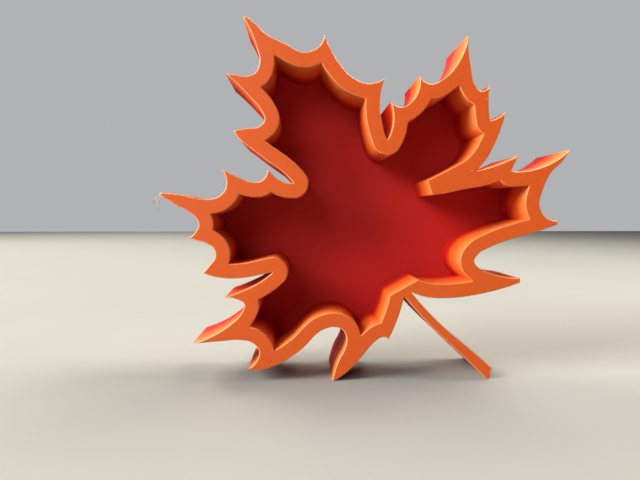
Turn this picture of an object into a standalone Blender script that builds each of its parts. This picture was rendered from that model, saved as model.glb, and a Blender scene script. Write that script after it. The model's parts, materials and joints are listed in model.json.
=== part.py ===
"""Maple leaf dish, a small open tray printed in plastic in the outline of a maple leaf.

The dish is one printed piece. A wall of even thickness follows the leaf's outline, the teeth
are solid out to their tips, a thin floor closes the back and the stem is a solid bar. A short
rib runs in from the right-hand notch. The dish stands upright on edge, with its open side
toward -Y, on the tooth at its foot and on the end of its stem.

Units are metres in the model and millimetres in the tables of sizes below. The origin is at
the middle of the foot line: x = 0 is the middle of the leaf's width, y = 0 the middle of its
depth, z = 0 the surface that it stands on.
"""

import math

import bmesh
import bpy
import numpy as np
from mathutils import Vector
from mathutils.geometry import interpolate_bezier

MM = 0.001

# Driving dimensions, in millimetres
DISH_DEPTH = 26.5
WALL = 5.4
FLOOR = 2.5
CUT_PAST_RIM = 2.0

# Fineness of the curves
STEPS_PER_BEND = 6
NOTCH_FAN_ANGLE = math.radians(9.0)
WALL_SLACK = 0.02
POINT_SPACING = 0.3
WELD_DISTANCE = 0.00001

# Printed plastic
PLASTIC_COLOUR = (0.80, 0.115, 0.028, 1.0)
PLASTIC_ROUGHNESS = 0.38


def tip(x, z):
    """A point of an outline where it turns sharply."""
    return (x, z, True)


def side(x, z):
    """A point of an outline that the curve runs smoothly through."""
    return (x, z, False)


# The leaf's outline in x and z, clockwise as seen from the open side. The blade runs from the
# lower side of the stem's root round to its upper side, lobe by lobe.
FOOT_LOBE = [
    tip(14.0, 31.4), side(12.0, 24.0),
    tip(8.4, 15.6), side(5.8, 16.2), side(3.8, 15.0), side(-1.6, 9.0), side(-6.6, 3.6),
    tip(-11.6, 0.0), tip(-12.6, 0.0), side(-10.6, 7.2), side(-8.0, 12.4), side(-7.4, 16.2),
    side(-9.0, 19.2), side(-12.2, 20.2), side(-15.2, 19.6),
    side(-24.6, 11.4), side(-34.0, 5.8), side(-40.2, 4.2),
    tip(-43.8, 4.8), side(-41.2, 7.0), side(-39.6, 10.8), side(-42.0, 14.4), side(-46.6, 15.6),
    side(-54.0, 15.2),
    tip(-64.2, 14.4), side(-56.2, 17.6), side(-50.8, 21.0), side(-45.8, 26.2),
    side(-45.0, 28.8), side(-48.0, 30.8),
    tip(-52.2, 31.4), side(-45.8, 33.8), side(-40.0, 36.6),
]
LOWER_LEFT_NOTCH = [
    tip(-34.4, 40.8), side(-38.8, 39.8), side(-45.4, 38.6), side(-53.0, 38.6),
]
LEFT_LOBE = [
    tip(-60.0, 40.4), side(-57.6, 43.2), side(-55.4, 46.2), side(-55.8, 49.2),
    side(-58.4, 51.2), side(-61.8, 52.4),
    tip(-65.0, 53.2), side(-62.4, 55.4), side(-61.2, 58.4), side(-62.4, 60.8),
    side(-65.0, 62.9), side(-69.8, 65.5),
    tip(-74.7, 68.6), tip(-75.0, 69.6), side(-68.0, 69.0), side(-61.2, 67.6),
    side(-56.8, 67.4), side(-53.4, 68.6), side(-51.2, 71.8), side(-51.2, 75.0),
    tip(-52.8, 78.2), side(-47.4, 75.6), side(-42.2, 73.6), side(-38.8, 73.8),
    side(-37.0, 75.4),
    tip(-36.2, 78.0), tip(-35.4, 77.4), side(-31.8, 74.2),
]
UPPER_LEFT_NOTCH = [
    tip(-26.8, 73.2), side(-29.6, 76.2), side(-37.2, 81.8), side(-42.2, 85.6),
    side(-46.4, 89.0),
]
TOP_LOBE = [
    tip(-48.2, 91.8), side(-43.4, 92.8), side(-39.2, 93.4), side(-37.2, 95.6),
    side(-38.6, 99.4), side(-41.8, 103.2),
    tip(-51.0, 112.0), side(-47.6, 111.6), side(-43.6, 111.2), side(-40.2, 112.6),
    side(-38.8, 116.2), side(-40.0, 121.8),
    tip(-44.6, 131.8), tip(-43.4, 132.0), side(-39.6, 129.0), side(-37.2, 126.6),
    side(-29.8, 122.8), side(-22.4, 119.8), side(-18.4, 121.2), side(-16.4, 123.4),
    tip(-15.6, 126.0), side(-13.8, 121.8), side(-10.4, 116.2), side(-4.4, 110.4),
    side(1.4, 109.0),
    tip(6.2, 111.0), side(4.6, 103.6), side(5.4, 94.4),
]
TOP_NOTCH = [
    tip(7.2, 88.8), side(9.0, 93.0), side(9.4, 97.4),
]
UPPER_RIGHT_LOBE = [
    tip(8.4, 102.6), side(12.4, 100.6), side(16.2, 102.8), side(18.6, 107.2),
    tip(18.8, 111.8), side(22.8, 109.0), side(28.0, 111.2), side(33.4, 117.6),
    tip(36.2, 126.4), side(37.6, 115.0), side(39.2, 108.6), side(41.2, 106.6),
    tip(44.6, 108.8), side(44.4, 100.4),
    tip(45.0, 96.0), side(48.2, 97.2),
    tip(50.6, 99.0), side(47.6, 89.4), side(43.8, 82.0),
]
RIGHT_NOTCH = [
    tip(40.2, 77.8), side(44.2, 78.8), side(50.0, 80.8),
]
RIGHT_LOBE = [
    tip(55.8, 83.4), side(54.6, 81.0),
    tip(53.2, 77.6), side(63.8, 78.9), side(69.2, 81.3),
    tip(75.0, 85.6), side(72.8, 82.0), side(67.8, 76.8), side(65.2, 71.0), side(64.0, 65.8),
    side(66.0, 61.2),
    tip(71.2, 59.4), tip(70.8, 58.0), side(62.8, 55.2), side(55.6, 53.2), side(46.2, 49.8),
    side(41.2, 46.8), side(40.0, 44.4), side(41.6, 42.2), side(46.0, 40.2),
    tip(57.4, 38.0), tip(57.4, 36.4), side(47.8, 33.4), side(33.6, 30.9), side(25.0, 30.8),
    side(20.0, 31.7),
    tip(16.6, 33.0),
]
BLADE = (FOOT_LOBE + LOWER_LEFT_NOTCH + LEFT_LOBE + UPPER_LEFT_NOTCH + TOP_LOBE + TOP_NOTCH
         + UPPER_RIGHT_LOBE + RIGHT_NOTCH + RIGHT_LOBE)

# The stem goes on from the blade's last point, out along its upper side and back below.
STEM = [
    side(30.0, 19.0), side(41.0, 9.9),
    tip(47.2, 4.4), tip(46.5, 0.0), tip(45.5, 0.0),
    side(39.6, 5.6), side(31.6, 13.2), side(23.0, 21.4),
]

# The rib inside the right-hand notch. Its two ends at the right lie inside the wall.
NOTCH_RIB = [
    tip(22.1, 74.3), side(26.8, 76.6), side(33.9, 80.3),
    tip(37.8, 82.6), tip(46.0, 80.4), tip(49.6, 74.6),
    side(45.2, 72.9), side(35.1, 70.9), side(28.6, 69.5),
    tip(23.8, 69.0),
]


def remove_all_objects():
    for old in list(bpy.data.objects):
        bpy.data.objects.remove(old, do_unlink=True)


def make_collection(name):
    collection = bpy.data.collections.new(name)
    bpy.context.scene.collection.children.link(collection)
    return collection


def plastic_material():
    material = bpy.data.materials.new("printed_plastic")
    material.use_nodes = True
    shader = material.node_tree.nodes["Principled BSDF"]
    shader.inputs["Base Color"].default_value = PLASTIC_COLOUR
    shader.inputs["Roughness"].default_value = PLASTIC_ROUGHNESS
    shader.inputs["Metallic"].default_value = 0.0
    return material


def smooth_direction(before, here, after):
    """Direction of the curve at a smooth point, as on the circle through three points."""
    arriving = here - before
    leaving = after - here
    blend = arriving.normalized() * leaving.length + leaving.normalized() * arriving.length
    return blend.normalized()


def bezier_knots(outline):
    """Knots of a closed curve as (left handle, point, right handle), in millimetres.

    A stretch between two smooth points follows the direction at both. A stretch that ends in
    a tip bends like an arc: the direction at the tip mirrors that at the smooth end. Between
    two tips the stretch is straight, and its two handles are None.
    """
    count = len(outline)
    points = [Vector((x, z)) for x, z, _ in outline]
    sharp = [is_tip for _, _, is_tip in outline]
    smooth = [
        smooth_direction(points[i - 1], points[i], points[(i + 1) % count])
        for i in range(count)
    ]
    left_handles = [None] * count
    right_handles = [None] * count
    for i in range(count):
        j = (i + 1) % count
        chord = points[j] - points[i]
        along = chord.normalized()
        leaving, arriving = smooth[i], smooth[j]
        if sharp[i] and sharp[j]:
            continue
        if sharp[i]:
            leaving = 2.0 * arriving.dot(along) * along - arriving
        elif sharp[j]:
            arriving = 2.0 * leaving.dot(along) * along - leaving
        reach = chord.length / 3.0
        right_handles[i] = points[i] + leaving * reach
        left_handles[j] = points[j] - arriving * reach
    return list(zip(left_handles, points, right_handles))


def sample_run(knots, last):
    """Points along the curve from its first knot to the knot numbered last."""
    samples = [knots[0][1]]
    for i in range(last):
        _, start, out_of_start = knots[i]
        into_end, end, _ = knots[i + 1]
        if out_of_start is None:
            samples.append(end)
        else:
            bend = interpolate_bezier(start, out_of_start, into_end, end, STEPS_PER_BEND + 1)
            samples.extend(bend[1:])
    return np.array([(point.x, point.y) for point in samples])


def shifted_points(run, distance):
    """Points at a distance to the right of an open run, with the run's direction at each.

    Each short stretch gives one, beside its middle, and each notch a fan of them round its
    corner.
    """
    steps = run[1:] - run[:-1]
    steps = steps / np.linalg.norm(steps, axis=1)[:, None]
    shifted = []
    for i, step in enumerate(steps):
        if i > 0:
            before = steps[i - 1]
            turn = math.atan2(before[0] * step[1] - before[1] * step[0], before.dot(step))
            rays = math.ceil(turn / NOTCH_FAN_ANGLE)
            for k in range(1, rays):
                angle = turn * k / rays
                along = np.array([
                    before[0] * math.cos(angle) - before[1] * math.sin(angle),
                    before[0] * math.sin(angle) + before[1] * math.cos(angle),
                ])
                shifted.append((run[i] + distance * np.array([along[1], -along[0]]), along))
        middle = (run[i] + run[i + 1]) / 2.0
        shifted.append((middle + distance * np.array([step[1], -step[0]]), step))
    return shifted


def distance_to_run(point, run):
    starts = run[:-1]
    steps = run[1:] - starts
    share = ((point - starts) * steps).sum(axis=1) / (steps * steps).sum(axis=1)
    nearest = starts + steps * np.clip(share, 0.0, 1.0)[:, None]
    return np.linalg.norm(point - nearest, axis=1).min()


def meeting_point(point_a, along_a, point_b, along_b):
    """Where a line forward from a meets one backward from b, or None if they don't."""
    cross = along_a[0] * along_b[1] - along_a[1] * along_b[0]
    if abs(cross) < math.sin(NOTCH_FAN_ANGLE):
        return None
    gap = point_b - point_a
    forward = (gap[0] * along_b[1] - gap[1] * along_b[0]) / cross
    backward = (gap[0] * along_a[1] - gap[1] * along_a[0]) / cross
    if forward <= 0.0 or backward >= 0.0:
        return None
    return point_a + forward * along_a


def inset_run(run, distance):
    """The inner edge of a wall of even thickness whose outer edge is the run.

    A shifted point counts only where no part of the run is nearer than the wall is thick.
    Where some were dropped, behind a tip, the edge's two sides are drawn on to a sharp corner.
    """
    inset = []
    dropped = False
    last_along = None
    for point, along in shifted_points(run, distance):
        if distance_to_run(point, run) < distance - WALL_SLACK:
            dropped = True
            continue
        if dropped and inset:
            corner = meeting_point(inset[-1], last_along, point, along)
            if corner is not None:
                inset.append(corner)
        dropped = False
        if not inset or np.linalg.norm(point - inset[-1]) >= POINT_SPACING:
            inset.append(point)
            last_along = along
    return inset


def flat_curve(name, depth):
    """An empty filled outline in local x and y, that stands upright on the x axis."""
    curve = bpy.data.curves.new(name, "CURVE")
    curve.dimensions = "2D"
    curve.fill_mode = "BOTH"
    curve.extrude = depth / 2.0 * MM
    outline = bpy.data.objects.new(name, curve)
    outline.rotation_euler.x = math.radians(90.0)
    bpy.context.scene.collection.objects.link(outline)
    return outline


def add_bezier(outline, knots):
    spline = outline.data.splines.new("BEZIER")
    spline.bezier_points.add(len(knots) - 1)
    for knot, (left, point, right) in zip(spline.bezier_points, knots):
        knot.co = point.to_3d() * MM
        knot.handle_left_type = "FREE" if left else "VECTOR"
        knot.handle_right_type = "FREE" if right else "VECTOR"
        if left:
            knot.handle_left = left.to_3d() * MM
        if right:
            knot.handle_right = right.to_3d() * MM
    spline.use_cyclic_u = True
    spline.resolution_u = STEPS_PER_BEND


def add_polygon(outline, points):
    spline = outline.data.splines.new("POLY")
    spline.points.add(len(points) - 1)
    for corner, (x, z) in zip(spline.points, points):
        corner.co = (x * MM, z * MM, 0.0, 1.0)
    spline.use_cyclic_u = True


def solid_from_curve(outline, collection):
    """The outline's filled solid as a mesh object of the same name and place."""
    bpy.context.view_layer.update()
    evaluated = outline.evaluated_get(bpy.context.evaluated_depsgraph_get())
    mesh = bpy.data.meshes.new_from_object(evaluated)
    shape = bmesh.new()
    shape.from_mesh(mesh)
    bmesh.ops.remove_doubles(shape, verts=shape.verts, dist=WELD_DISTANCE)
    shape.to_mesh(mesh)
    shape.free()
    name = outline.name
    matrix = outline.matrix_world.copy()
    bpy.data.objects.remove(outline, do_unlink=True)
    solid = bpy.data.objects.new(name, mesh)
    solid.matrix_world = matrix
    collection.objects.link(solid)
    return solid


def mark_as_cutter(solid):
    solid.hide_render = True
    solid.display_type = "WIRE"


def cut_away(solid, cutter):
    cut = solid.modifiers.new("cut_" + cutter.name, "BOOLEAN")
    cut.operation = "DIFFERENCE"
    cut.solver = "EXACT"
    cut.object = cutter


def make_leaf_solid(collection, knots):
    outline = flat_curve("maple_leaf_dish", DISH_DEPTH)
    add_bezier(outline, knots)
    return solid_from_curve(outline, collection)


def make_rib_cutter(collection):
    """The rib's solid, which is kept out of the hollow and so is left standing in it."""
    rib_depth = DISH_DEPTH + 4.0 * CUT_PAST_RIM
    outline = flat_curve("notch_rib", rib_depth)
    add_bezier(outline, bezier_knots(NOTCH_RIB))
    return solid_from_curve(outline, collection)


def make_hollow_cutter(collection, knots):
    """The hollow, from in front of the rim down to the floor of the dish."""
    depth = DISH_DEPTH - FLOOR + CUT_PAST_RIM
    outline = flat_curve("hollow", depth)
    blade_edge = sample_run(knots, len(BLADE) - 1)
    add_polygon(outline, inset_run(blade_edge, WALL))
    outline.location.y = (DISH_DEPTH / 2.0 - FLOOR - depth / 2.0) * MM
    return solid_from_curve(outline, collection)


def build_dish():
    remove_all_objects()
    parts = make_collection("maple_leaf_dish")
    cutters = make_collection("cutters")
    knots = bezier_knots(BLADE + STEM)
    dish = make_leaf_solid(parts, knots)
    rib = make_rib_cutter(cutters)
    hollow = make_hollow_cutter(cutters, knots)
    cut_away(hollow, rib)
    cut_away(dish, hollow)
    for cutter in (rib, hollow):
        mark_as_cutter(cutter)
    dish.data.materials.append(plastic_material())


build_dish()
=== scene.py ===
"""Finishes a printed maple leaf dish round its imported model.

The dish is one print in a filament that turns from deep red to orange halfway up. It was
printed lying on its back, so its layers follow each other along Y, from the back at +Y to the
rim at -Y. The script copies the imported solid, rounds its printed edges, adds the seams, beads
and loose strings that such a print has, and lights it as it stands on edge.
"""

import json
import math

import bmesh
import bpy
import numpy as np
from bpy.props import FloatProperty, FloatVectorProperty, IntProperty, PointerProperty
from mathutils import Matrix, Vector

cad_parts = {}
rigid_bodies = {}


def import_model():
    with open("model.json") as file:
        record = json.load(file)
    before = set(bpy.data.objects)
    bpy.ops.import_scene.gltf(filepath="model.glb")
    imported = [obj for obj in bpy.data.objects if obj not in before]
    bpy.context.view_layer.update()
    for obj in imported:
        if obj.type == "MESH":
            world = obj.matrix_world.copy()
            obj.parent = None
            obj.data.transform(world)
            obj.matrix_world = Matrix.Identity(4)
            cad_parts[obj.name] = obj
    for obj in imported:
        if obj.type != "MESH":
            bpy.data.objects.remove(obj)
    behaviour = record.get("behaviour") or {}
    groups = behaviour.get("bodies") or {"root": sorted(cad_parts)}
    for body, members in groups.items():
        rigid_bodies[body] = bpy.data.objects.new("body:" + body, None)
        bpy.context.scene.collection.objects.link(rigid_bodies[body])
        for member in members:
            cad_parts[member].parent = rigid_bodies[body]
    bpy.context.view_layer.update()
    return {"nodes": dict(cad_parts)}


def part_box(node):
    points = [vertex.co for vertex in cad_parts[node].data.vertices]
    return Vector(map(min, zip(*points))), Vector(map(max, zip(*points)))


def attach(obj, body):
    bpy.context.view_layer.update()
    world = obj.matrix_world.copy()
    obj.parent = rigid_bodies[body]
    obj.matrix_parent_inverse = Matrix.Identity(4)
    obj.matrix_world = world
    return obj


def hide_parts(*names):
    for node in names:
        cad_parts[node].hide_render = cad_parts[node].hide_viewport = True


bl_info = {
    "name": "Maple Leaf Dish",
    "version": (1, 0, 0),
    "blender": (4, 5, 0),
    "location": "3D View > Sidebar > Leaf Dish",
    "description": "Finishes a printed maple leaf dish round its packed model",
    "category": "Object",
}

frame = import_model()

NODE = "maple_leaf_dish"
BODY = "root"
MM = 0.001
LOW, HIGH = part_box(NODE)
RIM_Y = LOW.y
BACK_Y = HIGH.y
FLOOR_THICKNESS = 2.5 * MM
FLOOR_Y = BACK_Y - FLOOR_THICKNESS
QUARTER_TURN = math.radians(90.0)

# Limits of the work on the mesh, in metres where they are lengths
FLAT_TOLERANCE = 0.00002
MERGE_DISTANCE = 0.00005
RING_MERGE_DISTANCE = 0.6 * MERGE_DISTANCE
ROUNDED_ZONE = 1.5 * MM
LEAST_LENGTH = 1e-8
LEAST_AREA = 1e-9
CLOSE_ENOUGH = 0.999
SETTLING_ROUNDS = 24
WALL_TILT_LIMIT = 0.02
SAME_DIRECTION = 0.99999
AREA_WEIGHT = 100

# Look of the rim's edges
SMOOTH_ANGLE = 42.0
# Share of the pale edge that the hollow's edge takes, partly the print's paler outer line and
# partly a painted highlight
HOLLOW_EDGE_SHARE = 0.15


def deselect_everything():
    for other in bpy.context.view_layer.objects:
        other.select_set(False)


def make_active(piece):
    deselect_everything()
    piece.select_set(True)
    bpy.context.view_layer.objects.active = piece


def copy_of_node(node, name):
    """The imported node's shape as a new object, with its loose triangles joined."""
    piece = bpy.data.objects.new(name, frame["nodes"][node].data.copy())
    bpy.context.scene.collection.objects.link(piece)
    piece.data.materials.clear()
    make_active(piece)
    bpy.ops.object.mode_set(mode="EDIT")
    bpy.ops.mesh.select_all(action="SELECT")
    bpy.ops.mesh.remove_doubles(threshold=MERGE_DISTANCE)
    bpy.ops.mesh.select_all(action="DESELECT")
    bpy.ops.object.mode_set(mode="OBJECT")
    return piece


def keep_inside(points, starts, steps, inner, distance):
    """Moves points that lie nearer to the outline than the distance straight away from it."""
    lengths = np.maximum((steps * steps).sum(axis=1), LEAST_LENGTH ** 2)
    for row, point in enumerate(points):
        for _ in range(SETTLING_ROUNDS):
            share = np.clip(((point - starts) * steps).sum(axis=1) / lengths, 0.0, 1.0)
            spots = starts + steps * share[:, None]
            near = ((spots - point) ** 2).sum(axis=1).argmin()
            away = point - spots[near]
            gap = float(np.linalg.norm(away))
            wrong_side = float(away @ inner[near]) < 0.0
            if gap >= distance * CLOSE_ENOUGH and not wrong_side:
                break
            heading = inner[near] if wrong_side or gap < LEAST_LENGTH else away / gap
            point = spots[near] + heading * distance
        points[row] = point
    return points


def border_stretches(shape):
    """The selected faces' border in x and z: starts, steps and the directions to its inside."""
    starts = []
    steps = []
    inner = []
    for face in shape.faces:
        if not face.select:
            continue
        for loop in face.loops:
            if all(other.select for other in loop.edge.link_faces):
                continue
            start = loop.vert.co
            step = loop.link_loop_next.vert.co - start
            inward = face.normal.cross(step).normalized()
            starts.append((start.x, start.z))
            steps.append((step.x, step.z))
            inner.append((inward.x, inward.z))
    return np.array(starts), np.array(steps), np.array(inner)


def lies_flat(face, y):
    return all(abs(corner.co.y - y) < FLAT_TOLERANCE for corner in face.verts)


def select_flat_faces(piece, y):
    """Selects the faces that lie in the plane at y, in edit mode."""
    bpy.ops.mesh.select_mode(type="FACE")
    bpy.ops.mesh.select_all(action="DESELECT")
    shape = bmesh.from_edit_mesh(piece.data)
    for face in shape.faces:
        if lies_flat(face, y):
            face.select_set(True)
    bmesh.update_edit_mesh(piece.data)


def border_corners(shape):
    """The corners that part the selected faces from the rest."""
    corners = set()
    for edge in shape.edges:
        if sum(face.select for face in edge.link_faces) == 1:
            corners.update(edge.verts)
    return list(corners)


def round_flat_edge(piece, y, into, radius, count):
    """Rounds the edge all round the flat faces at y. into is +1 or -1, towards the inside."""
    make_active(piece)
    bpy.ops.object.mode_set(mode="EDIT")
    select_flat_faces(piece, y)
    shape = bmesh.from_edit_mesh(piece.data)
    shape.normal_update()
    starts, steps, inner = border_stretches(shape)
    inset_so_far = 0.0
    for number in range(count):
        inset = radius * (1.0 - math.cos(QUARTER_TURN * (number + 1) / count))
        depth = radius * (1.0 - math.sin(QUARTER_TURN * number / count))
        bpy.ops.mesh.inset(thickness=inset - inset_so_far, use_even_offset=False)
        inset_so_far = inset
        shape = bmesh.from_edit_mesh(piece.data)
        for corner in shape.verts:
            if not corner.select and abs(corner.co.y - y) < FLAT_TOLERANCE:
                corner.co.y = y + into * depth
        ring = border_corners(shape)
        points = np.array([(corner.co.x, corner.co.z) for corner in ring])
        points = keep_inside(points, starts, steps, inner, inset)
        for corner, (x, z) in zip(ring, points):
            corner.co.x = x
            corner.co.z = z
        bmesh.update_edit_mesh(piece.data)
    bpy.ops.mesh.select_mode(type="VERT")
    bpy.ops.mesh.select_all(action="SELECT")
    bpy.ops.mesh.remove_doubles(threshold=RING_MERGE_DISTANCE)
    bpy.ops.mesh.select_all(action="DESELECT")
    bpy.ops.object.mode_set(mode="OBJECT")


def refill_flat_faces(piece, y):
    """Replaces the triangles in the plane at y, some of them folded, with new ones."""
    make_active(piece)
    bpy.ops.object.mode_set(mode="EDIT")
    select_flat_faces(piece, y)
    bpy.ops.mesh.delete(type="ONLY_FACE")
    bpy.ops.mesh.select_mode(type="EDGE")
    bpy.ops.mesh.select_all(action="DESELECT")
    shape = bmesh.from_edit_mesh(piece.data)
    loose = [edge for edge in shape.edges if not edge.link_faces]
    bmesh.ops.delete(shape, geom=loose, context="EDGES")
    for edge in shape.edges:
        if len(edge.link_faces) == 1:
            edge.select_set(True)
    bmesh.update_edit_mesh(piece.data)
    bpy.ops.mesh.fill(use_beauty=True)
    bpy.ops.mesh.select_all(action="SELECT")
    bpy.ops.mesh.normals_make_consistent(inside=False)
    bpy.ops.mesh.select_all(action="DESELECT")
    bpy.ops.mesh.select_mode(type="VERT")
    bpy.ops.object.mode_set(mode="OBJECT")


def apply_all_modifiers(piece):
    make_active(piece)
    for modifier in list(piece.modifiers):
        bpy.ops.object.modifier_apply(modifier=modifier.name)


def mark_rounded_edge(piece):
    """Stores 1 on the rim's rounded outer edge, less on that of the hollow and 0 elsewhere: the
    share of the pale edge, partly the print's paler outer line and partly a painted highlight.
    """
    mesh = piece.data
    mark = mesh.attributes.new("rounded_edge", "FLOAT", "POINT")
    corners = mesh.vertices
    deepest = max(corner.co.y for corner in corners if corner.co.y < RIM_Y + ROUNDED_ZONE)
    rounded = {
        corner.index for corner in corners
        if RIM_Y + FLAT_TOLERANCE < corner.co.y < deepest - FLAT_TOLERANCE
    }
    neighbours = {number: [] for number in rounded}
    for edge in mesh.edges:
        first, second = edge.vertices
        if first in rounded and second in rounded:
            neighbours[first].append(second)
            neighbours[second].append(first)
    leftmost = min(rounded, key=lambda number: corners[number].co.x)
    outer = {leftmost}
    waiting = [leftmost]
    while waiting:
        for number in neighbours[waiting.pop()]:
            if number not in outer:
                outer.add(number)
                waiting.append(number)
    for number in rounded:
        mark.data[number].value = 1.0 if number in outer else HOLLOW_EDGE_SHARE


def wall_normals(mesh, widest_turn):
    """For each corner of the upright walls, the mean of the facets that meet there smoothly."""
    walls = [
        polygon for polygon in mesh.polygons
        if abs(polygon.normal.y) <= WALL_TILT_LIMIT and polygon.area >= LEAST_AREA
    ]
    meeting = {}
    for polygon in walls:
        for corner in polygon.vertices:
            meeting.setdefault(corner, []).append(polygon.normal.copy())
    limit = math.cos(math.radians(widest_turn))
    found = {}
    for polygon in walls:
        for loop, corner in zip(polygon.loop_indices, polygon.vertices):
            total = Vector((0.0, 0.0, 0.0))
            counted = []
            for normal in meeting[corner]:
                if normal.dot(polygon.normal) < limit:
                    continue
                if any(normal.dot(other) > SAME_DIRECTION for other in counted):
                    continue
                counted.append(normal)
                total += normal
            found[loop] = tuple(total.normalized())
    return found


def set_print_normals(piece, widest_turn):
    """Sets the shading normals of the walls and flat faces from their own shapes alone."""
    mesh = piece.data
    heights = [corner.co.y for corner in mesh.vertices]
    normals = [tuple(corner.vector) for corner in mesh.corner_normals]
    for loop, normal in wall_normals(mesh, widest_turn).items():
        normals[loop] = normal
    for polygon in mesh.polygons:
        levels = [heights[corner] for corner in polygon.vertices]
        on_floor = all(abs(level - FLOOR_Y) < FLAT_TOLERANCE for level in levels)
        for loop, level in zip(polygon.loop_indices, levels):
            if on_floor or abs(level - RIM_Y) < FLAT_TOLERANCE:
                normals[loop] = (0.0, -1.0, 0.0)
            elif abs(level - BACK_Y) < FLAT_TOLERANCE:
                normals[loop] = (0.0, 1.0, 0.0)
    mesh.normals_split_custom_set(normals)


def part_flat_faces(piece):
    """Keeps the edges inside the flat faces smooth, and a crease where the floor meets a wall."""
    shape = bmesh.new()
    shape.from_mesh(piece.data)
    for edge in shape.edges:
        level = edge.verts[0].co.y
        if abs(edge.verts[1].co.y - level) > FLAT_TOLERANCE:
            continue
        flat = [lies_flat(face, level) for face in edge.link_faces]
        if all(flat):
            edge.smooth = True
        elif any(flat):
            edge.smooth = abs(level - FLOOR_Y) > FLAT_TOLERANCE
    shape.to_mesh(piece.data)
    shape.free()


def shade_print(piece, angle):
    """Smooth shading that keeps the flat faces flat and the tips sharp."""
    make_active(piece)
    bpy.ops.object.shade_smooth_by_angle(angle=math.radians(angle), keep_sharp_edges=False)
    part_flat_faces(piece)
    weigh = piece.modifiers.new("weigh_normals", "WEIGHTED_NORMAL")
    weigh.keep_sharp = True
    weigh.weight = AREA_WEIGHT
    apply_all_modifiers(piece)
    set_print_normals(piece, angle)


class PrintFinish(bpy.types.PropertyGroup):
    rim_radius: FloatProperty(
        name="Rim rounding",
        description="Radius of the rounded edges of the rim",
        default=0.00042, min=0.00005, max=0.001, unit="LENGTH", precision=5,
    )
    back_radius: FloatProperty(
        name="Back rounding",
        description="Radius of the edge of the face printed on the bed",
        default=0.0002, min=0.00005, max=0.001, unit="LENGTH", precision=5,
    )
    rounding_steps: IntProperty(
        name="Rounding steps",
        description="Number of facets across a rounded edge",
        default=3, min=1, max=6,
    )
    layer_height: FloatProperty(
        name="Layer height",
        description="Thickness of one printed layer",
        default=0.0002, min=0.00005, max=0.001, unit="LENGTH", precision=5,
    )
    rim_colour: FloatVectorProperty(
        name="Rim colour",
        description="Colour of the filament at the rim",
        default=(0.780, 0.108, 0.012), size=3, min=0.0, max=1.0, subtype="COLOR",
    )
    back_colour: FloatVectorProperty(
        name="Back colour",
        description="Colour of the filament at the back and in the hollow",
        default=(0.510, 0.006, 0.004), size=3, min=0.0, max=1.0, subtype="COLOR",
    )
    # Painted sheen: a lighter colour on the walls just behind the rim, standing in for the
    # highlight on lit walls. The rim's own face keeps the filament colour.
    wall_sheen_colour: FloatVectorProperty(
        name="Lip colour",
        description="Lighter colour of the first layers of the walls behind the rim",
        default=(0.88, 0.29, 0.085), size=3, min=0.0, max=1.0, subtype="COLOR",
    )
    # The pale edge is partly the print's paler outer line and partly a painted highlight.
    pale_line_and_highlight_colour: FloatVectorProperty(
        name="Edge colour",
        description="Paler colour of the rounded edge of the rim",
        default=(1.0, 0.50, 0.28), size=3, min=0.0, max=1.0, subtype="COLOR",
    )
    pale_line_and_highlight_share: FloatProperty(
        name="Edge paleness",
        description="How much of the paler colour the rounded edge takes",
        default=0.42, min=0.0, max=1.0, subtype="FACTOR",
    )


# The plastic's fade, along its depth from 0 at the rim to 1 at the back
FADE_START = 0.42
FADE_END = 0.68
# How deep behind the rim the painted sheen on the walls reaches, and how strong it is at the rim
SHEEN_DEPTH = 0.40
SHEEN_STRENGTH = 0.60
HALFWAY = 0.5

# The plastic's shine, its tone and its relief
PLASTIC_IOR = 1.46
SPECULAR_LEVEL = 0.50
ROUGHNESS_RANGE = (0.40, 0.52)
BACK_ROUGHNESS = 0.30
TONE_RANGE = (0.94, 1.06)
NOISE_RANGE = (0.25, 0.75)
STROKE_CONTRAST = 0.5
FLAT_FACING = 0.93
RELIEF_STRENGTH = 0.30
RELIEF_HEIGHT = 0.00002

# How many times in a metre each pattern of the plastic changes
WAVER_SCALE = 60.0
BAND_SCALES = (18.0, 1600.0, 18.0)
STROKE_LENGTH_SCALE = 60.0
STROKE_WIDTH_SCALE = 900.0
MOTTLE_SCALE = 70.0

# Short creases in the walls, where the photo shows them
# Painted shade: the creases' colour darkens the wall along each crease.
CREASE_SHADE_COLOUR = (0.20, 0.02, 0.01, 1.0)
CREASE_SHADE_STRENGTH = 0.28
CREASES = (
    {"X": -26.60 * MM, "Low_Z": 70.2 * MM, "High_Z": 73.2 * MM, "Lean": -0.06},
    {"X": 40.55 * MM, "Low_Z": 74.9 * MM, "High_Z": 77.8 * MM, "Lean": 0.02},
    {"X": 13.97 * MM, "Low_Z": 31.4 * MM, "High_Z": 34.1 * MM, "Lean": 0.0},
    {"X": -33.75 * MM, "Low_Z": 118.4 * MM, "High_Z": 120.9 * MM, "Lean": 0.05},
    {"X": -18.15 * MM, "Low_Z": 116.9 * MM, "High_Z": 118.5 * MM, "Lean": 0.25},
)

MIXED_TYPES = {"Float": "FLOAT", "Color": "RGBA"}


def new_node(tree, kind, x, y, **settings):
    node = tree.nodes.new(kind)
    node.location = (x, y)
    for name, value in settings.items():
        setattr(node, name, value)
    return node


def put(tree, value, socket):
    """Links the value to the input where it is a socket, and else sets the input to it."""
    if isinstance(value, bpy.types.NodeSocket):
        tree.links.new(value, socket)
    else:
        socket.default_value = value


def math_node(tree, operation, x, y, *values):
    node = new_node(tree, "ShaderNodeMath", x, y, operation=operation)
    for socket, value in zip(node.inputs, values):
        put(tree, value, socket)
    return node.outputs[0]


def map_range(tree, x, y, value, old_ends, new_ends, **settings):
    node = new_node(tree, "ShaderNodeMapRange", x, y, **settings)
    for socket, end in zip(node.inputs, (value, *old_ends, *new_ends)):
        put(tree, end, socket)
    return node.outputs["Result"]


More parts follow.
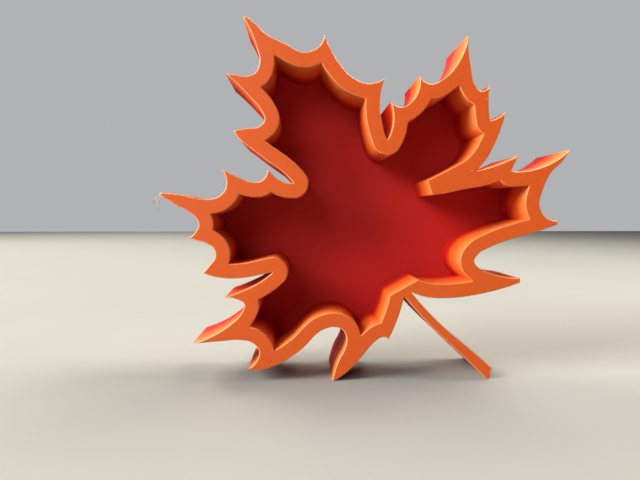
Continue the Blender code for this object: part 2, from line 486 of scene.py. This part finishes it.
def mix(tree, kind, x, y, share, first, second):
    """A Mix node for values of the kind Float or Color."""
    node = new_node(tree, "ShaderNodeMix", x, y, data_type=MIXED_TYPES[kind])
    for label, value in (("Factor_Float", share), ("A_" + kind, first), ("B_" + kind, second)):
        put(tree, value, next(item for item in node.inputs if item.identifier == label))
    return next(item for item in node.outputs if item.identifier == "Result_" + kind)


def noise(tree, x, y, place, scale, detail):
    node = new_node(tree, "ShaderNodeTexNoise", x, y)
    for label, value in (("Vector", place), ("Scale", scale), ("Detail", detail)):
        put(tree, value, node.inputs[label])
    return node.outputs["Fac"]


def colour_ramp(tree, x, y, share, stops):
    """A ramp between two stops, each a place from 0 to 1 and its colour."""
    node = new_node(tree, "ShaderNodeValToRGB", x, y)
    for element, (position, colour) in zip(node.color_ramp.elements, stops):
        element.position = position
        element.color = colour
    put(tree, share, node.inputs["Fac"])
    return node.outputs["Color"]


def opaque(colour, brightness=1.0):
    """The colour with full alpha, made brighter or darker by a factor."""
    return (*(min(1.0, channel * brightness) for channel in colour), 1.0)


def tinted(tree, x, y, colour, tone):
    """The colour, brighter or darker by a tone round 1."""
    node = new_node(tree, "ShaderNodeVectorMath", x, y, operation="SCALE")
    put(tree, colour, node.inputs["Vector"])
    put(tree, tone, node.inputs["Scale"])
    return node.outputs["Vector"]


def object_place(tree, x, y):
    """The shaded point's place in its object."""
    return new_node(tree, "ShaderNodeTexCoord", x, y).outputs["Object"]


def split(tree, x, y, vector):
    """A vector's parts, by the names X, Y and Z."""
    node = new_node(tree, "ShaderNodeSeparateXYZ", x, y)
    put(tree, vector, node.inputs[0])
    return node.outputs


def ridges(tree, x, y, run, spacing):
    """Even ridges across a run: 0 in the grooves and 1 on the crests."""
    count = math_node(tree, "DIVIDE", x, y, run, spacing)
    turn = math_node(tree, "MULTIPLY", x + 150, y, count, 2.0 * math.pi)
    wave = math_node(tree, "SINE", x + 300, y, turn)
    half = math_node(tree, "MULTIPLY", x + 450, y, wave, 0.5)
    return math_node(tree, "ADD", x + 600, y, half, 0.5)


def new_group(name, inputs, outputs):
    """A shader node group with its input and output nodes; inputs map names to defaults."""
    group = bpy.data.node_groups.new(name, "ShaderNodeTree")
    for label, default in inputs.items():
        socket = group.interface.new_socket(label, in_out="INPUT", socket_type="NodeSocketFloat")
        socket.default_value = default
    for label in outputs:
        group.interface.new_socket(label, in_out="OUTPUT", socket_type="NodeSocketFloat")
    source = new_node(group, "NodeGroupInput", -900, 0)
    sink = new_node(group, "NodeGroupOutput", 900, 0)
    return group, source.outputs, sink.inputs


def depth_fade_group():
    """How far a point lies from the rim towards the back: 0 at the rim, 1 at the back."""
    group, given, result = new_group(
        "depth_fade", {"Rim Y": RIM_Y, "Back Y": BACK_Y, "Waver": 0.015}, ["Depth"])
    place = object_place(group, -700, 200)
    axes = split(group, -500, 200, place)
    ends = (given["Rim Y"], given["Back Y"])
    share = map_range(group, -250, 200, axes["Y"], ends, (0.0, 1.0))
    cloud = noise(group, -500, -150, place, WAVER_SCALE, detail=2.0)
    centred = math_node(group, "SUBTRACT", -250, -150, cloud, 0.5)
    waver = math_node(group, "MULTIPLY", 0, -150, centred, given["Waver"])
    put(group, math_node(group, "ADD", 300, 100, share, waver), result["Depth"])
    return group


def layer_lines_group():
    """Ridges one layer apart along Y, and the slow change of tone from layer to layer."""
    group, given, result = new_group(
        "layer_lines", {"Layer Height": 0.0002}, ["Ridge", "Tone"])
    place = object_place(group, -700, 200)
    axes = split(group, -500, 200, place)
    ridge = ridges(group, -300, 200, axes["Y"], given["Layer Height"])
    stretch = new_node(group, "ShaderNodeMapping", -500, -200)
    stretch.inputs["Scale"].default_value = BAND_SCALES
    put(group, place, stretch.inputs["Vector"])
    bands = noise(group, -200, -200, stretch.outputs["Vector"], 1.0, detail=3.0)
    put(group, ridge, result["Ridge"])
    put(group, bands, result["Tone"])
    return group


def infill_lines_group():
    """The parallel strokes of a flat printed face, at 45 degrees in x and z."""
    group, given, result = new_group(
        "infill_lines", {"Line Width": 0.00045}, ["Ridge", "Tone"])
    axes = split(group, -500, 200, object_place(group, -700, 200))
    across = math_node(group, "ADD", -300, 200, axes["X"], axes["Z"])
    straight = math_node(group, "MULTIPLY", -150, 200, across, math.sqrt(0.5))
    ridge = ridges(group, 0, 200, straight, given["Line Width"])
    along = math_node(group, "SUBTRACT", -300, -200, axes["X"], axes["Z"])
    slow = math_node(group, "MULTIPLY", -150, -200, along, STROKE_LENGTH_SCALE)
    quick = math_node(group, "MULTIPLY", -150, -350, across, STROKE_WIDTH_SCALE)
    turned = new_node(group, "ShaderNodeCombineXYZ", 0, -250)
    put(group, slow, turned.inputs["X"])
    put(group, quick, turned.inputs["Y"])
    strokes = noise(group, 200, -250, turned.outputs["Vector"], 1.0, detail=2.0)
    put(group, ridge, result["Ridge"])
    put(group, strokes, result["Tone"])
    return group


def crease_group():
    """A short upright line at a named place in x and z: 1 on it and 0 away from it."""
    group, given, result = new_group(
        "crease",
        {"X": 0.0, "Low Z": 0.0, "High Z": 0.002, "Lean": 0.0, "Half Width": 0.0002},
        ["Mask"],
    )
    axes = split(group, -700, 300, object_place(group, -900, 300))
    rise = math_node(group, "SUBTRACT", -500, 100, axes["Z"], given["Low Z"])
    lean = math_node(group, "MULTIPLY", -350, 100, rise, given["Lean"])
    shifted = math_node(group, "ADD", -200, 200, given["X"], lean)
    across = math_node(group, "SUBTRACT", -50, 250, axes["X"], shifted)
    away = math_node(group, "ABSOLUTE", 100, 250, across)
    line = map_range(
        group, 300, 250, away, (0.0, given["Half Width"]), (1.0, 0.0),
        interpolation_type="SMOOTHSTEP")
    above = math_node(group, "GREATER_THAN", 100, 0, axes["Z"], given["Low Z"])
    below = math_node(group, "LESS_THAN", 100, -150, axes["Z"], given["High Z"])
    both = math_node(group, "MULTIPLY", 300, -50, above, below)
    put(group, math_node(group, "MULTIPLY", 550, 100, line, both), result["Mask"])
    return group


def grain_group():
    """Fine and coarse mottling of the plastic: a tone round 1, and the fine part alone."""
    group, given, result = new_group(
        "grain", {"Fine Size": 0.0006, "Amount": 0.04}, ["Tone", "Value"])
    place = object_place(group, -900, 0)
    scale = math_node(group, "DIVIDE", -700, -250, 1.0, given["Fine Size"])
    fine = noise(group, -500, 100, place, scale, detail=2.0)
    coarse = noise(group, -500, -150, place, MOTTLE_SCALE, detail=3.0)
    both = math_node(group, "ADD", -250, 0, fine, coarse)
    centred = math_node(group, "SUBTRACT", -50, 0, both, 1.0)
    scaled = math_node(group, "MULTIPLY", 150, 0, centred, given["Amount"])
    put(group, math_node(group, "ADD", 350, 0, scaled, 1.0), result["Tone"])
    put(group, fine, result["Value"])
    return group


def add_group(tree, group, x, y, **values):
    node = new_node(tree, "ShaderNodeGroup", x, y, node_tree=group)
    for label, value in values.items():
        node.inputs[label.replace("_", " ")].default_value = value
    return node.outputs


def plastic_groups():
    """The node groups of the plastic, each built the first time that it is wanted."""
    makers = {
        "depth_fade": depth_fade_group,
        "layer_lines": layer_lines_group,
        "infill_lines": infill_lines_group,
        "crease": crease_group,
        "grain": grain_group,
    }
    return {name: bpy.data.node_groups.get(name) or make() for name, make in makers.items()}


def shared_plastic(finish):
    """The plastic of the print, the same one for every piece."""
    return bpy.data.materials.get("faded_plastic") or plastic_of_the_print(finish)


def flat_mask(tree):
    """1 where the surface faces along Y, as the rim and the floor do, and 0 on the walls."""
    facing = new_node(tree, "ShaderNodeNewGeometry", -2300, -400)
    axes = split(tree, -2100, -400, facing.outputs["Normal"])
    turned = math_node(tree, "ABSOLUTE", -1900, -400, axes["Y"])
    return math_node(tree, "GREATER_THAN", -1700, -400, turned, FLAT_FACING)


def crease_mask(tree, group):
    """All the creases of the walls in one mask: 1 on each and 0 between them."""
    creases = 0.0
    for number, values in enumerate(CREASES):
        y = -650 - 220 * number
        mask = add_group(tree, group, -1500, y, **values)["Mask"]
        creases = math_node(tree, "MAXIMUM", -1250, y, creases, mask)
    return creases


def printed_colour(tree, finish, depth, flat, tone, creases):
    """The filament's colour at each depth. A painted sheen makes the walls lighter close behind
    the rim, painted shade darkens the creases, and the rounded edge is pale, partly from the
    print's paler outer line and partly as a painted highlight.
    """
    stops = ((FADE_START, opaque(finish.rim_colour)), (FADE_END, opaque(finish.back_colour)))
    faded = colour_ramp(tree, -2050, 500, depth, stops)
    # Painted sheen: walls lighter close behind the rim, fading out with depth
    near = map_range(
        tree, -2050, 800, depth, (0.0, SHEEN_DEPTH), (SHEEN_STRENGTH, 0.0),
        interpolation_type="SMOOTHSTEP")
    upright = math_node(tree, "SUBTRACT", -1500, 650, 1.0, flat)
    painted_sheen = math_node(tree, "MULTIPLY", -1350, 700, near, upright)
    body = mix(tree, "Color", -1200, 600, painted_sheen, faded, opaque(finish.wall_sheen_colour))
    mottled = tinted(tree, -1050, 400, body, tone)
    # Painted shade darkens the wall along each crease
    crease_shade = math_node(tree, "MULTIPLY", -1050, -200, creases, CREASE_SHADE_STRENGTH)
    shaded = mix(tree, "Color", -800, 300, crease_shade, mottled, CREASE_SHADE_COLOUR)
    # Pale rounded edge: partly the print's paler outer line, partly a painted highlight
    edge = new_node(tree, "ShaderNodeAttribute", -1050, 650, attribute_name="rounded_edge")
    pale_line_and_highlight = math_node(tree, "MULTIPLY", -850, 650, edge.outputs["Fac"], finish.pale_line_and_highlight_share)
    return mix(tree, "Color", -600, 400, pale_line_and_highlight, shaded, opaque(finish.pale_line_and_highlight_colour))


def printed_roughness(tree, depth, flat, tone):
    """Silky on the walls and the rim, and duller on the two faces of the closed back."""
    silky = map_range(tree, -600, -50, tone, NOISE_RANGE, ROUGHNESS_RANGE)
    deep = math_node(tree, "GREATER_THAN", -850, -50, depth, HALFWAY)
    on_back = math_node(tree, "MULTIPLY", -700, -100, deep, flat)
    duller = math_node(tree, "MULTIPLY", -550, -100, on_back, BACK_ROUGHNESS)
    return math_node(tree, "ADD", -350, -50, silky, duller)


def printed_relief(tree, ridge, grain, creases):
    """The fine relief of the ridges and the grain, with the creases cut into it."""
    rough = math_node(tree, "ADD", -850, -450, ridge, grain)
    bump = new_node(tree, "ShaderNodeBump", -400, -400)
    bump.inputs["Strength"].default_value = RELIEF_STRENGTH
    bump.inputs["Distance"].default_value = RELIEF_HEIGHT
    put(tree, math_node(tree, "SUBTRACT", -650, -450, rough, creases), bump.inputs["Height"])
    return bump.outputs["Normal"]


def plastic_of_the_print(finish):
    """The dish's plastic: orange at the rim, deep red at the back, drawn in printed lines."""
    groups = plastic_groups()
    material = bpy.data.materials.new("faded_plastic")
    material.use_nodes = True
    tree = material.node_tree
    shader = tree.nodes["Principled BSDF"]
    shader.inputs["Metallic"].default_value = 0.0
    shader.inputs["IOR"].default_value = PLASTIC_IOR
    shader.inputs["Specular IOR Level"].default_value = SPECULAR_LEVEL
    depth = add_group(tree, groups["depth_fade"], -2300, 500)["Depth"]
    layers = add_group(tree, groups["layer_lines"], -2300, 100, Layer_Height=finish.layer_height)
    strokes = add_group(tree, groups["infill_lines"], -2300, -150)
    grain = add_group(tree, groups["grain"], -1500, 250)
    flat = flat_mask(tree)
    creases = crease_mask(tree, groups["crease"])
    faint = math_node(tree, "MULTIPLY", -2050, -150, strokes["Tone"], STROKE_CONTRAST)
    calm = math_node(tree, "ADD", -1900, -150, faint, 0.5 * (1.0 - STROKE_CONTRAST))
    pattern = mix(tree, "Float", -1700, 0, flat, layers["Tone"], calm)
    ridge = mix(tree, "Float", -1050, -450, flat, layers["Ridge"], strokes["Ridge"])
    shift = map_range(tree, -1500, 0, pattern, NOISE_RANGE, TONE_RANGE)
    tone = math_node(tree, "MULTIPLY", -1250, 100, shift, grain["Tone"])
    colour = printed_colour(tree, finish, depth, flat, tone, creases)
    put(tree, colour, shader.inputs["Base Color"])
    put(tree, printed_roughness(tree, depth, flat, pattern), shader.inputs["Roughness"])
    put(tree, printed_relief(tree, ridge, grain["Value"], creases), shader.inputs["Normal"])
    return material


class LEAFDISH_OT_finish_print(bpy.types.Operator):
    """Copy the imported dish, round its printed edges and give it its plastic"""

    bl_idname = "leafdish.finish_print"
    bl_label = "Finish Print"

    def execute(self, context):
        finish = context.scene.leafdish_finish
        piece = copy_of_node(NODE, "maple_leaf_print")
        steps = finish.rounding_steps
        round_flat_edge(piece, RIM_Y, 1.0, finish.rim_radius, steps)
        round_flat_edge(piece, BACK_Y, -1.0, finish.back_radius, steps)
        for y in (RIM_Y, FLOOR_Y, BACK_Y):
            refill_flat_faces(piece, y)
        mark_rounded_edge(piece)
        shade_print(piece, SMOOTH_ANGLE)
        piece.data.materials.append(shared_plastic(finish))
        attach(piece, BODY)
        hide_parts(NODE)
        return {"FINISHED"}


class LooseMarks(bpy.types.PropertyGroup):
    seam_radius: FloatProperty(
        name="Seam radius",
        description="Half the width of the seam where each layer of a wall starts",
        default=0.00028, min=0.00005, max=0.001, unit="LENGTH", precision=5,
    )
    bead_radius: FloatProperty(
        name="Bead radius",
        description="Radius of the small beads of plastic on the rim",
        default=0.0003, min=0.00005, max=0.001, unit="LENGTH", precision=5,
    )
    string_radius: FloatProperty(
        name="String radius",
        description="Radius of the loose strings of plastic at the left tip",
        default=0.00009, min=0.00002, max=0.0005, unit="LENGTH", precision=5,
    )
    string_colour: FloatVectorProperty(
        name="String colour",
        description="Colour of the thin strings, through which light passes",
        default=(0.60, 0.52, 0.38), size=3, min=0.0, max=1.0, subtype="COLOR",
    )


SEAMS = (
    {"x": 7.18 * MM, "z": 83.34 * MM, "front": -12.95 * MM, "back": 10.7 * MM},
    {"x": -26.85 * MM, "z": 73.26 * MM, "front": -12.9 * MM, "back": 13.0 * MM},
    {"x": 40.15 * MM, "z": 77.86 * MM, "front": -12.9 * MM, "back": 13.0 * MM},
)

BEADS = (
    {"x": 6.25 * MM, "z": 84.25 * MM, "size": 0.8},
    {"x": 43.60 * MM, "z": 103.54 * MM, "size": 0.9},
    {"x": 38.60 * MM, "z": 77.70 * MM, "size": 0.8},
    {"x": -34.60 * MM, "z": 12.00 * MM, "size": 1.1},
    {"x": 7.45 * MM, "z": 16.45 * MM, "size": 1.0},
    {"x": -18.10 * MM, "z": 118.45 * MM, "size": 0.7},
)

SEAM_SIDES = 10
SEAM_CUTS = 70
SEAM_DRIFT = 0.05 * MM
SEAM_DRIFT_TURN = 1.1

# Each swell of a seam: its share of the width, its turn in a millimetre and its start
SEAM_SWELLS = ((0.22, 2.9, 0.0), (0.16, 7.3, 1.0))

# A bead's widths in x, y and z, and how far it leans, all as shares of its radius
BEAD_SUBDIVISIONS = 3
BEAD_SHAPE = (1.0, 0.7, 1.2)
BEAD_LEAN = 0.075
BEAD_TWIST = 5.0

# Each string's course in x and z, in millimetres, and how thick it is there
STRINGS = (
    ((-74.7, 69.3, 2.4), (-75.5, 68.4, 1.5), (-76.1, 67.6, 2.2), (-75.5, 66.4, 1.0),
     (-75.9, 64.5, 1.8)),
    ((-74.8, 69.1, 1.5), (-75.0, 67.5, 1.0), (-75.4, 66.0, 0.8), (-75.9, 63.4, 0.5)),
    ((-76.0, 67.7, 1.2), (-77.3, 67.1, 0.9), (-77.0, 65.9, 1.0), (-75.7, 66.1, 0.8)),
)

# How far behind the rim a string runs and how far it sways there, in millimetres
STRING_DEPTH = 0.9
STRING_SWAY = 0.5
STRING_SWAY_TURN = 1.7
STRING_SWAY_START = 2.1
STRING_BEVEL_STEPS = 2
STRING_STEPS = 10
STRING_ROUGHNESS = 0.60


def join_pieces(pieces, name):
    """Joins loose shapes into one piece that lies at the origin."""
    deselect_everything()
    for piece in pieces:
        piece.select_set(True)
    bpy.context.view_layer.objects.active = pieces[0]
    bpy.ops.object.join()
    joined = bpy.context.object
    joined.name = name
    bpy.ops.object.transform_apply(location=True, rotation=True, scale=True)
    return joined


def add_seam(place, radius):
    """One seam: a thin bead laid along Y, swelling and thinning a little as it goes."""
    deselect_everything()
    length = place["back"] - place["front"]
    middle = (place["x"], (place["back"] + place["front"]) / 2.0, place["z"])
    bpy.ops.mesh.primitive_cylinder_add(
        vertices=SEAM_SIDES, radius=radius, depth=length, end_fill_type="TRIFAN",
        location=middle, rotation=(QUARTER_TURN, 0.0, 0.0))
    seam = bpy.context.object
    bpy.ops.object.transform_apply(location=True, rotation=True, scale=True)
    bpy.ops.object.mode_set(mode="EDIT")
    bpy.ops.mesh.select_all(action="DESELECT")
    shape = bmesh.from_edit_mesh(seam.data)
    for edge in shape.edges:
        first, second = edge.verts
        edge.select_set(abs(first.co.y - second.co.y) > length / 2.0)
    bmesh.update_edit_mesh(seam.data)
    bpy.ops.mesh.subdivide(number_cuts=SEAM_CUTS)
    bpy.ops.object.mode_set(mode="OBJECT")
    for corner in seam.data.vertices:
        run = (corner.co.y - place["front"]) / MM
        waves = (share * math.sin(turn * run + start) for share, turn, start in SEAM_SWELLS)
        swell = sum(waves, 1.0)
        drift = SEAM_DRIFT * math.sin(SEAM_DRIFT_TURN * run + place["x"] / MM)
        corner.co.x = place["x"] + drift + (corner.co.x - place["x"]) * swell
        corner.co.z = place["z"] + (corner.co.z - place["z"]) * swell
    bpy.ops.object.shade_smooth()
    return seam


class LEAFDISH_OT_add_seams(bpy.types.Operator):
    """Lay a seam down each wall where its layers start and stop"""

    bl_idname = "leafdish.add_seams"
    bl_label = "Add Seams"

    def execute(self, context):
        finish = context.scene.leafdish_finish
        marks = context.scene.leafdish_marks
        seams = join_pieces([add_seam(place, marks.seam_radius) for place in SEAMS], "wall_seams")
        seams.data.materials.append(shared_plastic(finish))
        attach(seams, BODY)
        return {"FINISHED"}


class LEAFDISH_OT_add_beads(bpy.types.Operator):
    """Set the small beads that the nozzle left on the rim"""

    bl_idname = "leafdish.add_beads"
    bl_label = "Add Beads"

    def execute(self, context):
        finish = context.scene.leafdish_finish
        marks = context.scene.leafdish_marks
        beads = []
        for place in BEADS:
            deselect_everything()
            radius = marks.bead_radius * place["size"]
            bpy.ops.mesh.primitive_ico_sphere_add(
                subdivisions=BEAD_SUBDIVISIONS, radius=radius, scale=BEAD_SHAPE,
                location=(place["x"], RIM_Y, place["z"]))
            bead = bpy.context.object
            for corner in bead.data.vertices:
                twist = math.sin(BEAD_TWIST * corner.co.z / radius + place["size"])
                corner.co.x += BEAD_LEAN * twist * radius
            bpy.ops.object.shade_smooth()
            beads.append(bead)
        joined = join_pieces(beads, "rim_beads")
        joined.data.materials.append(shared_plastic(finish))
        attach(joined, BODY)
        return {"FINISHED"}


def string_material(colour):
    """Plastic drawn out so thin that it looks pale."""
    groups = plastic_groups()
    material = bpy.data.materials.new("thin_plastic")
    material.use_nodes = True
    tree = material.node_tree
    shader = tree.nodes["Principled BSDF"]
    shader.inputs["Roughness"].default_value = STRING_ROUGHNESS
    grain = add_group(tree, groups["grain"], -700, 0, Fine_Size=0.0008, Amount=0.25)
    put(tree, tinted(tree, -400, 0, colour, grain["Tone"]), shader.inputs["Base Color"])
    return material


def add_string(points, number, radius):
    """One loose string: a thin tapering curve that starts in the tip."""
    deselect_everything()
    bpy.ops.curve.primitive_bezier_curve_add(radius=1.0, location=(0.0, 0.0, 0.0))
    string = bpy.context.object
    curve = string.data
    curve.bevel_depth = radius
    curve.bevel_resolution = STRING_BEVEL_STEPS
    curve.resolution_u = STRING_STEPS
    curve.use_fill_caps = True
    spline = curve.splines[0]
    spline.bezier_points.add(len(points) - len(spline.bezier_points))
    for step, (knot, (x, z, swell)) in enumerate(zip(spline.bezier_points, points)):
        turn = STRING_SWAY_TURN * step + STRING_SWAY_START * number
        sway = STRING_SWAY * math.sin(turn)
        knot.co = (x * MM, RIM_Y + (STRING_DEPTH + sway * min(step, 1)) * MM, z * MM)
        knot.handle_left_type = "AUTO"
        knot.handle_right_type = "AUTO"
        knot.radius = swell
    bpy.ops.object.convert(target="MESH")
    bpy.ops.object.shade_smooth()
    return bpy.context.object


class LEAFDISH_OT_add_strings(bpy.types.Operator):
    """Hang the loose strings of plastic from the left tip"""

    bl_idname = "leafdish.add_strings"
    bl_label = "Add Strings"

    def execute(self, context):
        marks = context.scene.leafdish_marks
        strings = [
            add_string(points, number, marks.string_radius)
            for number, points in enumerate(STRINGS)
        ]
        joined = join_pieces(strings, "tip_strings")
        joined.data.materials.append(string_material(marks.string_colour))
        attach(joined, BODY)
        return {"FINISHED"}


class StageSettings(bpy.types.PropertyGroup):
    camera_distance: FloatProperty(
        name="Camera distance",
        description="From the lens to the plane of the rim",
        default=0.175, min=0.05, max=2.0, unit="LENGTH",
    )
    camera_across: FloatProperty(
        name="Camera across",
        description="Place of the lens along X",
        default=-0.02286, unit="LENGTH",
    )
    camera_height: FloatProperty(
        name="Camera height",
        description="Height of the lens above the floor",
        default=0.06208, unit="LENGTH",
    )
    camera_pitch: FloatProperty(
        name="Camera pitch",
        description="How far the view dips below level",
        default=math.radians(3.136), subtype="ANGLE",
    )
    camera_yaw: FloatProperty(
        name="Camera yaw",
        description="How far the view turns to the right",
        default=math.radians(1.847), subtype="ANGLE",
    )
    lens: FloatProperty(
        name="Lens",
        description="Focal length on a sensor 36 mm wide, in millimetres",
        default=27.0, min=10.0, max=200.0,
    )
    floor_colour: FloatVectorProperty(
        name="Floor colour",
        description="Colour of the floor close to the dish",
        default=(0.29, 0.291, 0.297), size=3, min=0.0, max=1.0, subtype="COLOR",
    )
    key_power: FloatProperty(
        name="Key light",
        description="Power of the large light at the upper left",
        default=61, min=0.0, max=500.0, unit="POWER",
    )
    back_left_power: FloatProperty(
        name="Back left light",
        description="Power of the high light behind the dish on the left",
        default=18, min=0.0, max=500.0, unit="POWER",
    )
    fill_power: FloatProperty(
        name="Fill light",
        description="Power of the light behind the camera, on the left",
        default=8.5, min=0.0, max=500.0, unit="POWER",
    )
    side_power: FloatProperty(
        name="Side light",
        description="Power of the light above the dish on the right",
        default=9, min=0.0, max=500.0, unit="POWER",
    )
    back_right_power: FloatProperty(
        name="Back right light",
        description="Power of the high light behind the dish on the right",
        default=2.4, min=0.0, max=500.0, unit="POWER",
    )
    sky_strength: FloatProperty(
        name="Room light",
        description="Strength of the even light of the room",
        default=0.05, min=0.0, max=10.0,
    )
    wall_strength: FloatProperty(
        name="Wall brightness",
        description="Brightness of the room's wall where the camera sees it",
        default=0.46, min=0.0, max=10.0,
    )


# Each lamp's name, place, width, spread in degrees and colour, in the order of the settings
LAMPS = (
    ("key_upper_left", (-1.56, -0.62, 0.95), 1.0, 180.0, (0.97, 1.0, 0.88)),
    ("back_left", (-0.85, 0.78, 1.10), 0.8, 180.0, (1.0, 0.93, 0.74)),
    ("fill_behind_camera", (-0.80, -1.5, 0.85), 0.8, 180.0, (1.0, 0.95, 0.98)),
    ("above_right", (0.45, 0.12, 0.75), 0.5, 180.0, (1.0, 0.95, 0.82)),
    ("behind_right", (0.75, 1.3, 1.7), 0.8, 70.0, (1.0, 0.88, 0.68)),
)

FLOOR_WIDTH = 3.0
FLOOR_ROUGHNESS = 0.85
FLOOR_CLOUD_SCALE = 9.0

# Where the floor's clouds start and end in their noise, and their brightness there
FLOOR_CLOUDS = ((0.35, 0.96), (0.65, 1.0))

# From where to where in y the floor grows paler, as painted light, and how bright it is at the end
FLOOR_FAR = (0.05, 1.0)
FLOOR_FAR_PAINTED_BRIGHTNESS = 1.25

# Brightness of the floor in the light that it throws back, and in the plastic's shine
FLOOR_IN_BOUNCE = 0.75
FLOOR_IN_SHINE = 0.05

ROOM_COLOUR = (0.96, 0.97, 1.0, 1.0)
ROOM_IN_SHINE = 0.3
SENSOR_WIDTH = 36.0
NEAREST_SEEN = 0.01


def stage_material(colour):
    """Matt paper: lightly clouded, paler far back as painted light, and darker in the light that
    it throws back.
    """
    material = bpy.data.materials.new("studio_paper")
    material.use_nodes = True
    tree = material.node_tree
    shader = tree.nodes["Principled BSDF"]
    shader.inputs["Roughness"].default_value = FLOOR_ROUGHNESS
    place = object_place(tree, -900, 0)
    axes = split(tree, -700, -300, place)
    cloud = noise(tree, -700, 0, place, FLOOR_CLOUD_SCALE, detail=3.0)
    stops = [(position, opaque(colour, brightness)) for position, brightness in FLOOR_CLOUDS]
    near = colour_ramp(tree, -450, 0, cloud, stops)
    # Painted light: the floor grows paler far back
    away = map_range(
        tree, -450, -300, axes["Y"], FLOOR_FAR, (0.0, 1.0), interpolation_type="SMOOTHSTEP")
    seen = mix(tree, "Color", -200, 0, away, near, opaque(colour, FLOOR_FAR_PAINTED_BRIGHTNESS))
    path = new_node(tree, "ShaderNodeLightPath", -450, 300).outputs
    thrown = opaque(colour, FLOOR_IN_BOUNCE)
    lit = mix(tree, "Color", -50, 0, path["Is Diffuse Ray"], seen, thrown)
    mirrored = opaque(colour, FLOOR_IN_SHINE)
    shown = mix(tree, "Color", -50, 200, path["Is Glossy Ray"], lit, mirrored)
    put(tree, shown, shader.inputs["Base Color"])
    return material


def add_floor(settings):
    """A large level floor under the dish."""
    deselect_everything()
    bpy.ops.mesh.primitive_plane_add(size=FLOOR_WIDTH, location=(0.0, 0.0, 0.0))
    floor = bpy.context.object
    floor.name = "studio_floor"
    floor.data.materials.append(stage_material(settings.floor_colour))


def add_lamp(name, place, width, spread, colour, power, target):
    """A round soft lamp that points at the target and isn't seen itself."""
    light = bpy.data.lights.new(name, "AREA")
    light.shape = "DISK"
    light.size = width
    light.energy = power
    light.spread = math.radians(spread)
    light.color = colour
    lamp = bpy.data.objects.new(name, light)
    lamp.visible_camera = False
    lamp.location = place
    heading = Vector(target) - Vector(place)
    lamp.rotation_euler = heading.to_track_quat("-Z", "Y").to_euler()
    bpy.context.scene.collection.objects.link(lamp)


def add_camera(settings):
    """The camera of the photo, measured from the plane of the rim."""
    camera = bpy.data.cameras.new("photo_camera")
    camera.sensor_width = SENSOR_WIDTH
    camera.lens = settings.lens
    camera.clip_start = NEAREST_SEEN
    holder = bpy.data.objects.new("photo_camera", camera)
    holder.location = (
        settings.camera_across,
        RIM_Y - settings.camera_distance,
        settings.camera_height,
    )
    holder.rotation_euler = (QUARTER_TURN - settings.camera_pitch, 0.0, -settings.camera_yaw)
    bpy.context.scene.collection.objects.link(holder)
    bpy.context.scene.camera = holder


def set_room_light(strength, wall_strength):
    """Even light from all round, weaker in the plastic's shine, and a wall that is seen."""
    world = bpy.data.worlds.new("studio")
    world.use_nodes = True
    tree = world.node_tree
    background = tree.nodes["Background"]
    background.inputs["Color"].default_value = ROOM_COLOUR
    path = new_node(tree, "ShaderNodeLightPath", -900, 0).outputs
    shine_ends = (strength, strength * ROOM_IN_SHINE)
    light = map_range(tree, -600, 100, path["Is Glossy Ray"], (0.0, 1.0), shine_ends)
    level = map_range(tree, -300, 0, path["Is Camera Ray"], (0.0, 1.0), (light, wall_strength))
    put(tree, level, background.inputs["Strength"])
    bpy.context.scene.world = world


class LEAFDISH_OT_set_stage(bpy.types.Operator):
    """Lay the floor, hang the lights and set up the camera of the photograph"""

    bl_idname = "leafdish.set_stage"
    bl_label = "Set Stage"

    def execute(self, context):
        settings = context.scene.leafdish_stage
        add_floor(settings)
        middle = ((LOW.x + HIGH.x) / 2.0, 0.0, (LOW.z + HIGH.z) / 2.0)
        powers = (
            settings.key_power,
            settings.back_left_power,
            settings.fill_power,
            settings.side_power,
            settings.back_right_power,
        )
        for lamp, power in zip(LAMPS, powers):
            add_lamp(*lamp, power, middle)
        set_room_light(settings.sky_strength, settings.wall_strength)
        add_camera(settings)
        context.scene.view_settings.view_transform = "Standard"
        return {"FINISHED"}


MARK_OPERATORS = (LEAFDISH_OT_add_seams, LEAFDISH_OT_add_beads, LEAFDISH_OT_add_strings)


class LEAFDISH_PT_panel(bpy.types.Panel):
    bl_idname = "LEAFDISH_PT_panel"
    bl_label = "Maple Leaf Dish"
    bl_space_type = "VIEW_3D"
    bl_region_type = "UI"
    bl_category = "Leaf Dish"

    def draw(self, context):
        layout = self.layout
        for label, settings, operators in (
            ("Print", context.scene.leafdish_finish, (LEAFDISH_OT_finish_print,)),
            ("Marks", context.scene.leafdish_marks, MARK_OPERATORS),
            ("Stage", context.scene.leafdish_stage, (LEAFDISH_OT_set_stage,)),
        ):
            box = layout.box()
            box.label(text=label)
            for name in settings.bl_rna.properties.keys():
                if name not in ("rna_type", "name"):
                    box.prop(settings, name)
            for operator in operators:
                box.operator(operator.bl_idname)


CLASSES = (
    PrintFinish,
    LooseMarks,
    StageSettings,
    LEAFDISH_OT_finish_print,
    *MARK_OPERATORS,
    LEAFDISH_OT_set_stage,
    LEAFDISH_PT_panel,
)


def register():
    for cls in CLASSES:
        bpy.utils.register_class(cls)
    bpy.types.Scene.leafdish_finish = PointerProperty(type=PrintFinish)
    bpy.types.Scene.leafdish_marks = PointerProperty(type=LooseMarks)
    bpy.types.Scene.leafdish_stage = PointerProperty(type=StageSettings)


def unregister():
    del bpy.types.Scene.leafdish_stage
    del bpy.types.Scene.leafdish_marks
    del bpy.types.Scene.leafdish_finish
    for cls in reversed(CLASSES):
        bpy.utils.unregister_class(cls)


def main():
    register()
    bpy.ops.leafdish.set_stage()
    bpy.ops.leafdish.finish_print()
    bpy.ops.leafdish.add_seams()
    bpy.ops.leafdish.add_beads()
    bpy.ops.leafdish.add_strings()


if __name__ == "__main__":
    main()
